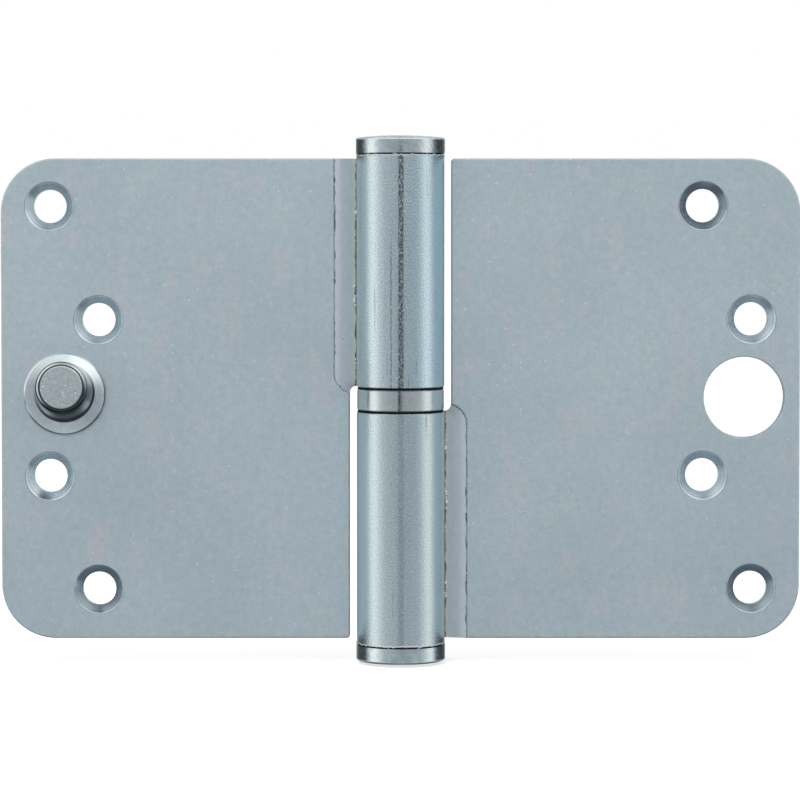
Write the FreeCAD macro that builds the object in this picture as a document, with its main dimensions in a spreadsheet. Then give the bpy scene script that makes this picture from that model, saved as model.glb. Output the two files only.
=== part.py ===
import FreeCAD, Part
import math
import os
import sys

import Sketcher

# Ball bearing lift-off hinge, lying open flat.
# The origin is on the pin's axis at mid height. Z runs up the pin, X towards the frame leaf,
# and -Y to the side on which the knuckles stand proud. Millimetres.

V = FreeCAD.Vector
doc = FreeCAD.newDocument("hinge")


# Driving dimensions

SIZES = [
    ("leaf_height", 89.0, "height of both leaves"),
    ("leaf_reach", 74.0, "pin axis to a leaf's outer edge"),
    ("sheet_thickness", 3.0, "thickness of the folded sheet"),
    ("leaf_setback", 1.4, "pin axis to the front of a leaf, half the gap when shut"),
    ("leaf_corner_radius", 10.0, "outer corners of a leaf"),
    ("inner_corner_radius", 0.6, "corner beside the other leaf's knuckle"),
    ("edge_round", 0.3, "die roll along the front edges"),
    ("rim_round", 0.2, "worn edge round each hole's front"),
    ("bend_step", 0.05, "bend pressed below the die roll"),
    ("side_clearance", 1.3, "leaf edge to the other leaf's knuckle"),
    ("bend_width", 2.8, "bend line to the leaf's inner edge"),
    ("bend_radius", 1.0, "inside radius of the bend"),
    ("bend_overrun", 1.3, "how far the bend runs past the knuckle's inner end"),
    ("bend_corner_drop", 3.7, "height of the bend line's rounded corner"),
    ("notch_radius", 1.2, "corner where the notch meets the leaf's edge"),
    ("bore_radius", 5.1, "inside of the rolled knuckle"),
    ("seam_angle", 18.0, "where the rolled end stops short of the bend, in degrees"),
    ("knuckle_overhang", 0.9, "knuckle past the leaf's end"),
    ("knuckle_chamfer", 0.15, "turned edge at both ends of a knuckle"),
    ("trim_clearance", 0.1, "end of the bend trimmed this far clear of the knuckle"),
    ("screw_hole_radius", 3.1, "countersunk screw holes"),
    ("countersink_radius", 4.5, "countersink at the front of a leaf"),
    ("screw_side_margin", 9.0, "outer screws to the leaf's outer edge"),
    ("screw_stagger", 9.0, "inner screws further in by this"),
    ("screw_end_margin", 9.0, "end screws to the leaf's end"),
    ("screw_middle_height", 14.5, "middle screws from mid height"),
    ("frame_punch_rise", 0.3, "frame leaf's holes punched above mid height"),
    ("door_punch_rise", 0.15, "door leaf's holes punched above mid height"),
    ("stud_hole_radius", 7.5, "hole that the stud enters"),
    ("stud_hole_margin", 10.3, "stud hole's centre to the leaf's outer edge"),
    ("stud_inset", 1.45, "stud nearer the pin than its hole's centre"),
    ("stud_rise", 1.0, "stud above mid height"),
    ("stud_flange_radius", 7.55, "stud's flange"),
    ("stud_flange_thickness", 1.3, "stud's flange, at the foot of its cone"),
    ("stud_flange_fall", 0.3, "flange's front slopes back to its rim by this"),
    ("stud_flange_edge", 0.3, "chamfer round the flange"),
    ("stud_shank_radius", 3.6, "riveted shank through the sheet"),
    ("stud_rivet_spread", 0.8, "how far the riveted end spreads in its countersink"),
    ("stud_root_radius", 5.5, "foot of the stud's cone"),
    ("stud_tip_radius", 4.75, "top of the stud's cone, before its rounded edge"),
    ("stud_tip_round", 0.9, "rounded edge round the tip"),
    ("stud_length", 5.4, "flange to tip"),
    ("stud_lean", 11.5, "lean of the cone, in degrees"),
    ("stud_root_rise", 0.35, "cone's foot above the flange's centre"),
    ("bearing_height", 4.7, "between the two knuckles"),
    ("casing_gap", 0.5, "casing to each knuckle"),
    ("casing_inset", 0.07, "casing inside the knuckle's outline"),
    ("casing_wall", 0.6, "casing's side wall"),
    ("collar_inset", 0.15, "races' collars inside the knuckle's outline"),
    ("casing_edge", 0.1, "broken edges of the casing"),
    ("bearing_play", 0.1, "running clearance inside the bearing"),
    ("race_bore_clearance", 0.2, "races and cage around the pin"),
    ("race_gap", 1.1, "between the faces of the two races"),
    ("ball_radius", 0.79, "sixteenth of an inch balls"),
    ("ball_clearance", 0.05, "ball to its groove and pocket"),
    ("ball_count", 12, "balls in the cage"),
    ("cage_thickness", 0.6, "ball cage"),
    ("pin_clearance", 0.07, "pin in the turning knuckle"),
    ("press_clearance", 0.01, "pressed-in pieces"),
    ("pin_rise", 36.0, "pin's tip above mid height"),
    ("pin_nose_length", 4.0, "tapered nose of the pin"),
    ("pin_nose_radius", 2.6, "flat at the pin's tip"),
    ("cap_overhang", 0.15, "cap's flange outside the knuckle"),
    ("cap_height", 2.85, "cap outside the knuckle, at its rim"),
    ("cap_dome", 0.5, "how far a cap's middle bulges past its rim"),
    ("cap_edge", 0.45, "rounded edge of a cap"),
    ("cap_stem_length", 4.5, "stem pressed into the bore"),
    ("cap_stem_lead", 0.5, "lead-in at the stem's end"),
]

sheet = doc.addObject("Spreadsheet::Sheet", "sizes")
for row, (alias, value, note) in enumerate(SIZES, start=1):
    sheet.set(f"A{row}", note)
    sheet.set(f"B{row}", str(value))
    sheet.setAlias(f"B{row}", alias)
doc.recompute()


# Sizes worked out from the driving ones, in cells of their own

DERIVED = [
    ("half_height", "leaf_height / 2"),
    ("knuckle_radius", "bore_radius + sheet_thickness"),
    ("leaf_back", "leaf_setback + sheet_thickness"),
    ("notch_edge", "knuckle_radius + side_clearance"),
    ("bend_line", "notch_edge + bend_width"),
    ("bend_front", "leaf_setback + edge_round + bend_step"),
    ("knuckle_inner_end", "bearing_height / 2"),
    ("knuckle_outer_end", "half_height + knuckle_overhang"),
    ("bend_inner_end", "knuckle_inner_end - bend_overrun"),
    ("screw_outer_reach", "leaf_reach - screw_side_margin"),
    ("screw_inner_reach", "screw_outer_reach - screw_stagger"),
    ("screw_end_height", "half_height - screw_end_margin"),
    ("stud_hole_reach", "leaf_reach - stud_hole_margin"),
    ("stud_rim_thickness", "stud_flange_thickness - stud_flange_fall"),
    ("stud_reach", "stud_hole_reach - stud_inset"),
    ("pin_radius", "bore_radius - pin_clearance"),
    ("press_radius", "bore_radius - press_clearance"),
    ("pin_foot", "knuckle_outer_end - cap_stem_length"),
    ("cap_radius", "knuckle_radius + cap_overhang"),
    ("casing_radius", "knuckle_radius - casing_inset"),
    ("casing_bore", "casing_radius - casing_wall"),
    ("casing_half", "bearing_height / 2 - casing_gap"),
    ("race_bore", "pin_radius + race_bore_clearance"),
    ("race_radius", "casing_bore - bearing_play"),
    ("collar_radius", "knuckle_radius - collar_inset"),
    ("collar_face", "casing_half + bearing_play"),
    ("ball_pitch_radius", "(race_bore + race_radius) / 2"),
    ("groove_radius", "ball_radius + ball_clearance"),
]
for row, (alias, formula) in enumerate(DERIVED, start=len(SIZES) + 2):
    sheet.set(f"A{row}", alias.replace("_", " "))
    sheet.set(f"B{row}", "=" + formula)
    sheet.setAlias(f"B{row}", alias)
    doc.recompute()


def size(alias):
    """A cell's value as a plain number."""
    return float(getattr(sheet, alias))


def plane_of(body, role):
    """The body's own origin plane of that role, such as XY_Plane."""
    return [item for item in body.Origin.OriginFeatures if item.Role == role][0]


def new_body(name):
    body = doc.addObject("PartDesign::Body", name)
    body.Label = name
    return body


def new_sketch(body, name, role, offset=None):
    """A sketch on one of the body's origin planes, moved along its normal by a formula."""
    sketch = body.newObject("Sketcher::SketchObject", name)
    sketch.AttachmentSupport = [(plane_of(body, role), "")]
    sketch.MapMode = "FlatFace"
    if offset:
        sketch.setExpression("AttachmentOffset.Base.z", offset)
    doc.recompute()
    return sketch


def line(sketch, start, end):
    return sketch.addGeometry(Part.LineSegment(V(*start, 0), V(*end, 0)), False)


def circle(sketch, centre, radius):
    return sketch.addGeometry(Part.Circle(V(*centre, 0), V(0, 0, 1), radius), False)


def arc(sketch, centre, radius, start_deg, end_deg):
    """A counter-clockwise arc from the first angle to the second."""
    full = Part.Circle(V(*centre, 0), V(0, 0, 1), radius)
    part = Part.ArcOfCircle(full, math.radians(start_deg), math.radians(end_deg))
    return sketch.addGeometry(part, False)


def rule(sketch, *what):
    sketch.addConstraint(Sketcher.Constraint(*what))


def sized(sketch, name, formula, *what):
    """A dimension of the sketch, named and bound to the sheet."""
    index = sketch.addConstraint(Sketcher.Constraint(*what))
    sketch.renameConstraint(index, name)
    sketch.setExpression("Constraints." + name, formula)


# A sketch numbers an edge's own points upwards from 1, and its two axes downwards from -1.
START, END, CENTRE = range(1, 4)
AXIS_X, AXIS_Y = range(-1, -3, -1)
ORIGIN = (AXIS_X, START)


def closed_outline(sketch, corners):
    """Straight lines through the corners and back to the first, joined end to end."""
    lines = []
    for index, corner in enumerate(corners):
        following = corners[(index + 1) % len(corners)]
        lines.append(line(sketch, corner, following))
    for index, edge in enumerate(lines):
        following = lines[(index + 1) % len(lines)]
        rule(sketch, "Coincident", edge, END, following, START)
    return lines


def stepped_profile(sketch, steps):
    """A closed outline whose corners' (radius, height) are pairs of formulas on the sheet.

    Radii lie along the sketch's X and heights along its Y, so it is ready to be turned.
    """
    values = [(size_of(radius), size_of(height)) for radius, height in steps]
    lines = closed_outline(sketch, values)
    for index, (radius, height) in enumerate(steps):
        pin_point(sketch, f"corner_{index + 1}", lines[index], START, values[index], radius, height)
    return lines


def size_of(formula):
    """The value of a formula that uses the sheet's names."""
    return float(sheet.evalExpression(formula.replace("sizes.", "")))


def pin_point(sketch, name, geometry, point, value, across, along):
    """Fixes a point by its two distances from the origin, each bound to a formula."""
    for axis, number, formula, kind in ((0, value[0], across, "DistanceX"), (1, value[1], along, "DistanceY")):
        if abs(number) < 1e-9:
            other_axis = AXIS_Y if axis == 0 else AXIS_X
            rule(sketch, "PointOnObject", geometry, point, other_axis)
            continue
        sized(sketch, f"{name}_{'xy'[axis]}", formula, kind, *ORIGIN, geometry, point, number)


def pad(body, name, sketch, length, reverse=False):
    feature = body.newObject("PartDesign::Pad", name)
    feature.Profile = sketch
    feature.setExpression("Length", length)
    feature.Reversed = reverse
    sketch.Visibility = False
    doc.recompute()
    return feature


def pocket_through(body, name, sketch):
    """Cuts the sketch right through the body, both ways from its plane."""
    before = body.Shape.Volume
    feature = body.newObject("PartDesign::Pocket", name)
    feature.Profile = sketch
    feature.SideType = "Symmetric"
    feature.Type = "ThroughAll"
    doc.recompute()
    if body.Shape.Volume >= before:
        raise RuntimeError(name + " cuts nothing")
    return feature


def revolve(body, name, sketch, kind="PartDesign::Revolution"):
    """Turns the sketch once round its own vertical axis."""
    feature = body.newObject(kind, name)
    feature.Profile = sketch
    feature.ReferenceAxis = (sketch, ["V_Axis"])
    feature.Angle = 360.0
    doc.recompute()
    return feature


def edges_where(shape, test):
    """Names of the edges that pass a test, for a fillet or chamfer."""
    return [f"Edge{index}" for index, edge in enumerate(shape.Edges, start=1) if test(edge)]


def near(value, target):
    return abs(value - target) < 1e-4


def dress(body, name, kind, dimension, formula, test):
    """A fillet or chamfer along the edges of the body that pass a test."""
    base = body.Tip
    names = edges_where(base.Shape, test)
    feature = body.newObject(kind, name)
    feature.Base = (base, names)
    feature.setExpression(dimension, formula)
    doc.recompute()
    return feature


def turned(body, steps, name="turned"):
    """A body of revolution about Z from (radius, height) formulas."""
    sketch = new_sketch(body, name + "_profile", "XZ_Plane")
    stepped_profile(sketch, steps)
    doc.recompute()
    return revolve(body, name, sketch)


def circle_edge(radius, height):
    """Test for the round edge of that radius at that height on the Z axis."""

    def test(edge):
        if edge.Degenerated or not isinstance(edge.Curve, Part.Circle):
            return False
        return near(edge.Curve.Radius, radius) and near(edge.Curve.Center.z, height)

    return test


def turn_over(body, axis):
    """Places a body the other way up, half a turn about an axis through the origin."""
    body.Placement = FreeCAD.Placement(V(0, 0, 0), FreeCAD.Rotation(axis, 180))


# Leaves
# Each leaf is one sheet: a flat plate whose knuckle is rolled from a tongue that first bends back
# behind the pin. Both are drawn as the frame leaf, with the knuckle below mid height.


def plate_outline(sketch):
    """The flat plate, with the bend's line and its rounded corner as its inner edge."""
    half = size("half_height")
    reach = size("leaf_reach")
    corner = size("leaf_corner_radius")
    inner = size("notch_edge")
    small = size("inner_corner_radius")
    bend = size("bend_line")
    bend_end = -size("bend_inner_end")
    drop = size("bend_corner_drop")
    width = size("bend_width")
    bend_corner = (width**2 + drop**2) / (2 * width)
    bend_turn = math.degrees(math.atan2(drop, bend_corner - width))

    bottom = line(sketch, (bend, -half), (reach - corner, -half))
    low_corner = arc(sketch, (reach - corner, corner - half), corner, 270, 360)
    side = line(sketch, (reach, corner - half), (reach, half - corner))
    high_corner = arc(sketch, (reach - corner, half - corner), corner, 0, 90)
    top = line(sketch, (reach - corner, half), (inner + small, half))
    small_corner = arc(sketch, (inner + small, half - small), small, 90, 180)
    edge = line(sketch, (inner, half - small), (inner, bend_end))
    bend_arc = arc(sketch, (bend - bend_corner, bend_end - drop), bend_corner, 0, bend_turn)
    bend_edge = line(sketch, (bend, bend_end - drop), (bend, -half))

    rule(sketch, "Tangent", bottom, END, low_corner, START)
    rule(sketch, "Tangent", low_corner, END, side, START)
    rule(sketch, "Tangent", side, END, high_corner, START)
    rule(sketch, "Tangent", high_corner, END, top, START)
    rule(sketch, "Tangent", top, END, small_corner, START)
    rule(sketch, "Tangent", small_corner, END, edge, START)
    rule(sketch, "Coincident", edge, END, bend_arc, END)
    rule(sketch, "Tangent", bend_arc, START, bend_edge, START)
    rule(sketch, "Coincident", bend_edge, END, bottom, START)
    rule(sketch, "Horizontal", bottom)
    rule(sketch, "Vertical", side)
    rule(sketch, "Horizontal", top)
    rule(sketch, "Vertical", edge)
    rule(sketch, "Vertical", bend_edge)
    sized(sketch, "bend_line", "sizes.bend_line", "DistanceX", *ORIGIN, bottom, START, bend)
    sized(sketch, "low_end", "-sizes.half_height", "DistanceY", *ORIGIN, bottom, START, -half)
    sized(sketch, "reach", "sizes.leaf_reach", "DistanceX", *ORIGIN, side, START, reach)
    sized(sketch, "high_end", "sizes.half_height", "DistanceY", *ORIGIN, top, START, half)
    sized(sketch, "inner_edge", "sizes.notch_edge", "DistanceX", *ORIGIN, edge, END, inner)
    sized(sketch, "bend_end", "-sizes.bend_inner_end", "DistanceY", *ORIGIN, edge, END, bend_end)
    sized(sketch, "bend_drop", "sizes.bend_corner_drop", "DistanceY", bend_arc, START, edge, END, drop)
    sized(sketch, "low_radius", "sizes.leaf_corner_radius", "Radius", low_corner, corner)
    sized(sketch, "high_radius", "sizes.leaf_corner_radius", "Radius", high_corner, corner)
    sized(sketch, "small_radius", "sizes.inner_corner_radius", "Radius", small_corner, small)


def roll_profile(sketch):
    """The sheet's section from the plate through the bend and once round the pin, to the seam.

    The straight run is tangent to the roll on both faces. roll_start is the angle round the pin
    at which it meets the roll, found from where the front of the bend begins.
    """
    bore = size("bore_radius")
    outer = size("knuckle_radius")
    back = size("leaf_back")
    front = size("bend_front")
    bend = size("bend_line")
    inside = size("bend_radius")
    outside = inside + size("sheet_thickness")
    stub = bend + size("bend_width")
    seam = size("seam_angle")

    front_centre = (bend, front + outside)
    centre_distance = math.hypot(*front_centre)
    centre_angle = math.atan2(front_centre[1], front_centre[0])
    roll_start = centre_angle + math.acos((bore + outside) / centre_distance)
    across, along = math.cos(roll_start), math.sin(roll_start)
    back_centre = ((outer + inside - (back + inside) * along) / across, back + inside)
    start_deg = math.degrees(roll_start)
    end_deg = 360 + seam
    seam_across = math.cos(math.radians(seam))
    seam_along = math.sin(math.radians(seam))

    back_bend_end = (back_centre[0] - inside * across, back_centre[1] - inside * along)
    front_bend_end = (front_centre[0] - outside * across, front_centre[1] - outside * along)
    back_flat = line(sketch, (stub, back), (back_centre[0], back))
    back_bend = arc(sketch, back_centre, inside, start_deg + 180, 270)
    back_run = line(sketch, back_bend_end, (outer * across, outer * along))
    roll_outside = arc(sketch, (0, 0), outer, start_deg, end_deg)
    sheet_end = line(sketch, (outer * seam_across, outer * seam_along), (bore * seam_across, bore * seam_along))
    roll_inside = arc(sketch, (0, 0), bore, start_deg, end_deg)
    front_run = line(sketch, (bore * across, bore * along), front_bend_end)
    front_bend = arc(sketch, front_centre, outside, start_deg + 180, 270)
    front_flat = line(sketch, (bend, front), (stub, front))
    stub_end = line(sketch, (stub, front), (stub, back))

    rule(sketch, "Tangent", back_flat, END, back_bend, END)
    rule(sketch, "Tangent", back_bend, START, back_run, START)
    rule(sketch, "Tangent", back_run, END, roll_outside, START)
    rule(sketch, "Coincident", roll_outside, END, sheet_end, START)
    rule(sketch, "Coincident", sheet_end, END, roll_inside, END)
    rule(sketch, "Tangent", roll_inside, START, front_run, START)
    rule(sketch, "Tangent", front_run, END, front_bend, START)
    rule(sketch, "Tangent", front_bend, END, front_flat, START)
    rule(sketch, "Coincident", front_flat, END, stub_end, START)
    rule(sketch, "Coincident", stub_end, END, back_flat, START)
    rule(sketch, "Coincident", roll_outside, CENTRE, *ORIGIN)
    rule(sketch, "Coincident", roll_inside, CENTRE, *ORIGIN)
    rule(sketch, "PointOnObject", *ORIGIN, sheet_end)
    rule(sketch, "Parallel", back_run, front_run)
    rule(sketch, "Horizontal", back_flat)
    rule(sketch, "Horizontal", front_flat)
    rule(sketch, "Vertical", stub_end)
    sized(sketch, "bore", "sizes.bore_radius", "Radius", roll_inside, bore)
    sized(sketch, "outside", "sizes.knuckle_radius", "Radius", roll_outside, outer)
    sized(sketch, "inner_bend", "sizes.bend_radius", "Radius", back_bend, inside)
    sized(
        sketch, "outer_bend", "sizes.bend_radius + sizes.sheet_thickness", "Radius", front_bend, outside
    )
    sized(sketch, "bend_line", "sizes.bend_line", "DistanceX", *ORIGIN, front_flat, START, bend)
    sized(sketch, "front", "sizes.bend_front", "DistanceY", *ORIGIN, front_flat, START, front)
    sized(sketch, "back", "sizes.leaf_back", "DistanceY", *ORIGIN, back_flat, START, back)
    sized(
        sketch, "stub", "sizes.bend_line + sizes.bend_width", "DistanceX", *ORIGIN, back_flat, START, stub
    )
    sized(
        sketch, "seam", "sizes.seam_angle * 1 deg", "Angle", AXIS_X, START, sheet_end, END, math.radians(seam)
    )


def notch_outline(sketch):
    """What is open above the knuckle, down to its inner end, with a rounded inner corner."""
    inner = size("notch_edge")
    level = -size("knuckle_inner_end")
    radius = size("notch_radius")
    floor = line(sketch, (-inner, level), (inner - radius, level))
    corner = arc(sketch, (inner - radius, level + radius), radius, 270, 360)
    side = line(sketch, (inner, level + radius), (inner, 0))
    roof = line(sketch, (inner, 0), (-inner, 0))
    far_side = line(sketch, (-inner, 0), (-inner, level))
    rule(sketch, "Tangent", floor, END, corner, START)
    rule(sketch, "Tangent", corner, END, side, START)
    rule(sketch, "Coincident", side, END, roof, START)
    rule(sketch, "Coincident", roof, END, far_side, START)
    rule(sketch, "Coincident", far_side, END, floor, START)
    rule(sketch, "Horizontal", floor)
    rule(sketch, "Vertical", side)
    rule(sketch, "Vertical", far_side)
    rule(sketch, "PointOnObject", roof, START, AXIS_X)
    rule(sketch, "PointOnObject", roof, END, AXIS_X)
    sized(sketch, "side", "sizes.notch_edge", "DistanceX", *ORIGIN, side, END, inner)
    sized(sketch, "far_side", "-sizes.notch_edge", "DistanceX", *ORIGIN, far_side, START, -inner)
    sized(sketch, "floor", "-sizes.knuckle_inner_end", "DistanceY", *ORIGIN, floor, START, level)
    sized(sketch, "corner", "sizes.notch_radius", "Radius", corner, radius)


def end_trim_outline(sketch):
    """What is cut off the bend beyond the leaf's end, where only the knuckle stands past it."""
    left = "sizes.knuckle_radius + sizes.trim_clearance"
    right = "sizes.leaf_reach"
    low = "-sizes.knuckle_outer_end - sizes.knuckle_overhang"
    high = "-sizes.half_height"
    corners = [(left, low), (right, low), (right, high), (left, high)]
    stepped_profile(sketch, corners)


SCREW_PLACES = [
    ("sizes.screw_inner_reach", "sizes.screw_end_height"),
    ("sizes.screw_outer_reach", "sizes.screw_middle_height"),
    ("sizes.screw_inner_reach", "-sizes.screw_middle_height"),
    ("sizes.screw_outer_reach", "-sizes.screw_end_height"),
]


def round_holes(sketch, places, radius_formula):
    """Circles at the places, each a pair of formulas."""
    radius = size_of(radius_formula)
    for index, (across, along) in enumerate(places, start=1):
        values = (size_of(across), size_of(along))
        ring = circle(sketch, values, radius)
        pin_point(sketch, f"place_{index}", ring, CENTRE, values, across, along)
        sized(sketch, f"radius_{index}", radius_formula, "Radius", ring, radius)


def countersunk(body, name, sketch, radius, rim_radius, from_back=False):
    """Countersunk holes through the sheet, from its front or its back."""
    before = body.Shape.Volume
    feature = body.newObject("PartDesign::Hole", name)
    feature.Profile = sketch
    feature.ThreadType = "None"
    feature.DepthType = "ThroughAll"
    feature.HoleCutType = "Countersink"
    feature.HoleCutCountersinkAngle = 90.0
    feature.setExpression("Diameter", f"2 * {radius}")
    feature.setExpression("HoleCutDiameter", f"2 * {rim_radius}")
    feature.Reversed = from_back
    doc.recompute()
    if body.Shape.Volume >= before:
        raise RuntimeError(name + " cuts nothing")


def front_rim(radius):
    """Test for the round edge of a hole of that radius in a leaf's front."""
    front = size("leaf_setback")

    def test(edge):
        curve = edge.Curve
        return isinstance(curve, Part.Circle) and near(curve.Radius, radius) and near(curve.Center.y, front)

    return test


def make_leaf(name, rise):
    """The blank, bent and rolled, with its screw holes raised by a formula."""
    body = new_body(name)

    outline = new_sketch(body, "plate_outline", "XZ_Plane", "-sizes.leaf_back")
    plate_outline(outline)
    doc.recompute()
    pad(body, "plate", outline, "sizes.sheet_thickness")

    front = size("leaf_setback")
    dress(
        body,
        "die_roll",
        "PartDesign::Fillet",
        "Radius",
        "sizes.edge_round",
        lambda edge: all(near(vertex.Y, front) for vertex in edge.Vertexes),
    )

    section = new_sketch(body, "roll_profile", "XY_Plane", "-sizes.bend_inner_end")
    roll_profile(section)
    doc.recompute()
    pad(body, "rolled_knuckle", section, "sizes.knuckle_outer_end - sizes.bend_inner_end", reverse=True)

    notch = new_sketch(body, "notch_outline", "XZ_Plane")
    notch_outline(notch)
    pocket_through(body, "notch", notch)

    trim = new_sketch(body, "end_trim_outline", "XZ_Plane")
    end_trim_outline(trim)
    pocket_through(body, "end_trim", trim)

    outer = size("knuckle_radius")
    inner_end = circle_edge(outer, -size("knuckle_inner_end"))
    outer_end = circle_edge(outer, -size("knuckle_outer_end"))
    dress(
        body,
        "turned_ends",
        "PartDesign::Chamfer",
        "Size",
        "sizes.knuckle_chamfer",
        lambda edge: inner_end(edge) or outer_end(edge),
    )

    screws = new_sketch(body, "screw_places", "XZ_Plane", "-sizes.leaf_setback")
    places = [(across, f"{along} + {rise}") for across, along in SCREW_PLACES]
    round_holes(screws, places, "sizes.screw_hole_radius")
    doc.recompute()
    countersunk(body, "screw_holes", screws, "sizes.screw_hole_radius", "sizes.countersink_radius")
    rims = front_rim(size("countersink_radius"))
    dress(body, "countersink_rims", "PartDesign::Fillet", "Radius", "sizes.rim_round", rims)
    return body


def make_frame_leaf():
    body = make_leaf("frame_leaf", "sizes.frame_punch_rise")
    place = new_sketch(body, "stud_hole_place", "XZ_Plane")
    round_holes(place, [("sizes.stud_hole_reach", "sizes.frame_punch_rise")], "sizes.stud_hole_radius")
    pocket_through(body, "stud_hole", place)
    rim = front_rim(size("stud_hole_radius"))
    dress(body, "stud_hole_rim", "PartDesign::Fillet", "Radius", "sizes.rim_round", rim)
    return body


def make_door_leaf():
    """The same blank turned half a turn in its own plane, with the stud's riveting hole."""
    body = make_leaf("door_leaf", "-sizes.door_punch_rise")
    place = new_sketch(body, "rivet_place", "XZ_Plane", "-sizes.leaf_back")
    round_holes(place, [("sizes.stud_reach", "-sizes.stud_rise")], "sizes.stud_shank_radius")
    doc.recompute()
    rim = "(sizes.stud_shank_radius + sizes.stud_rivet_spread)"
    countersunk(body, "rivet_hole", place, "sizes.stud_shank_radius", rim, from_back=True)
    turn_over(body, V(0, 1, 0))
    return body


# Stud


def make_stud():
    """A flanged stud: its shank is riveted into the door leaf, its cone leans up a little.

    The flange slopes from under the cone to its rim, and the cone starts level with that rim.

    The stud's own origin is the middle of its seat on the leaf's front, with -Y towards the tip.
    """
    body = new_body("security_stud")
    seat = new_sketch(body, "flange_profile", "XY_Plane")
    shank = "sizes.stud_shank_radius"
    flange = "sizes.stud_flange_radius"
    edge = "sizes.stud_flange_edge"
    thick = "sizes.stud_flange_thickness"
    rim = "sizes.stud_rim_thickness"
    spread = "sizes.stud_rivet_spread"
    steps = [
        ("0", "sizes.sheet_thickness"),
        (f"{shank} + {spread}", "sizes.sheet_thickness"),
        (shank, f"sizes.sheet_thickness - {spread}"),
        (shank, "0"),
        (flange, "0"),
        (flange, f"-{rim} + {edge}"),
        (f"{flange} - {edge}", f"-{rim}"),
        ("sizes.stud_tip_radius", f"-{thick}"),
        ("0", f"-{thick}"),
    ]
    stepped_profile(seat, steps)
    doc.recompute()
    revolve(body, "flange", seat)

    root = new_sketch(body, "cone_root", "XZ_Plane", rim)
    round_holes(root, [("0", "sizes.stud_root_rise")], "sizes.stud_root_radius")
    tip = new_sketch(body, "cone_tip", "XZ_Plane", f"{thick} + sizes.stud_length")
    lifted = "sizes.stud_root_rise + sizes.stud_length * tan(sizes.stud_lean * 1 deg)"
    round_holes(tip, [("0", lifted)], "sizes.stud_tip_radius")
    doc.recompute()
    cone = body.newObject("PartDesign::AdditiveLoft", "cone")
    cone.Profile = root
    cone.Sections = [tip]
    cone.Ruled = True
    doc.recompute()
    face = -size("stud_flange_thickness") - size("stud_length")
    dress(
        body,
        "tip_round",
        "PartDesign::Fillet",
        "Radius",
        "sizes.stud_tip_round",
        lambda candidate: all(near(vertex.Y, face) for vertex in candidate.Vertexes),
    )
    body.setExpression("Placement.Base.x", "-sizes.stud_reach")
    body.setExpression("Placement.Base.y", "sizes.leaf_setback")
    body.setExpression("Placement.Base.z", "sizes.stud_rise")
    return body


# Pin and caps


def make_pin():
    """The pin: pressed into the lower knuckle, free in the upper one, with a tapered nose."""
    lead = "sizes.cap_stem_lead"
    steps = [
        ("0", "-sizes.pin_foot"),
        (f"sizes.press_radius - {lead}", "-sizes.pin_foot"),
        ("sizes.press_radius", f"-sizes.pin_foot + {lead}"),
        ("sizes.press_radius", "-sizes.knuckle_inner_end"),
        ("sizes.pin_radius", "-sizes.knuckle_inner_end"),
        ("sizes.pin_radius", "sizes.pin_rise - sizes.pin_nose_length"),
        ("sizes.pin_nose_radius", "sizes.pin_rise"),
        ("0", "sizes.pin_rise"),
    ]
    body = new_body("hinge_pin")
    turned(body, steps, "pin")
    shoulder = circle_edge(size("pin_radius"), size("pin_rise") - size("pin_nose_length"))
    tip = circle_edge(size("pin_nose_radius"), size("pin_rise"))
    dress(
        body,
        "nose_rounds",
        "PartDesign::Fillet",
        "Radius",
        "sizes.pin_nose_radius / 2",
        lambda edge: shoulder(edge) or tip(edge),
    )
    return body


def domed_profile(sketch, steps, crown):
    """An outline up to the last step, an arc from there to the crown, and back down the axis.

    The steps are pairs of formulas, the first of them on the axis. The crown is its height's formula.
    """
    values = [(size_of(radius), size_of(height)) for radius, height in steps]
    rim_radius, rim_height = values[-1]
    top = size_of(crown)
    rise = top - rim_height
    dome_radius = (rim_radius**2 + rise**2) / (2 * rise)
    rim_deg = math.degrees(math.acos(rim_radius / dome_radius))

    lines = [line(sketch, start, end) for start, end in zip(values, values[1:])]
    dome = arc(sketch, (0, top - dome_radius), dome_radius, rim_deg, 90)
    axis = line(sketch, (0, top), values[0])
    for first, second in zip(lines, lines[1:]):
        rule(sketch, "Coincident", first, END, second, START)
    rule(sketch, "Coincident", lines[-1], END, dome, START)
    rule(sketch, "Coincident", dome, END, axis, START)
    rule(sketch, "Coincident", axis, END, lines[0], START)
    rule(sketch, "PointOnObject", dome, CENTRE, AXIS_Y)
    for index, (radius, height) in enumerate(steps[:-1]):
        pin_point(sketch, f"corner_{index + 1}", lines[index], START, values[index], radius, height)
    pin_point(sketch, "rim", lines[-1], END, values[-1], *steps[-1])
    pin_point(sketch, "crown", axis, START, (0, top), "0", crown)


def make_cap(name):
    """A turned cap: a domed flange against the knuckle's outer end, a stem pressed into its bore."""
    stem_end = "sizes.pin_foot"
    seat = "sizes.knuckle_outer_end"
    lead = "sizes.cap_stem_lead"
    steps = [
        ("0", stem_end),
        (f"sizes.press_radius - {lead}", stem_end),
        ("sizes.press_radius", f"{stem_end} + {lead}"),
        ("sizes.press_radius", seat),
        ("sizes.cap_radius", seat),
        ("sizes.cap_radius", f"{seat} + sizes.cap_height"),
    ]
    body = new_body(name)
    profile = new_sketch(body, "cap_profile", "XZ_Plane")
    domed_profile(profile, steps, f"{seat} + sizes.cap_height + sizes.cap_dome")
    doc.recompute()
    revolve(body, "cap", profile)
    rim = circle_edge(size("cap_radius"), size("knuckle_outer_end") + size("cap_height"))
    dress(body, "rim_round", "PartDesign::Fillet", "Radius", "sizes.cap_edge", rim)
    return body


# Thrust bearing
# Two grooved races with caged balls between them. A plain ring round them, the casing, is pressed
# on the lower race and runs clear of the upper one, between the collars of both.


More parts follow.
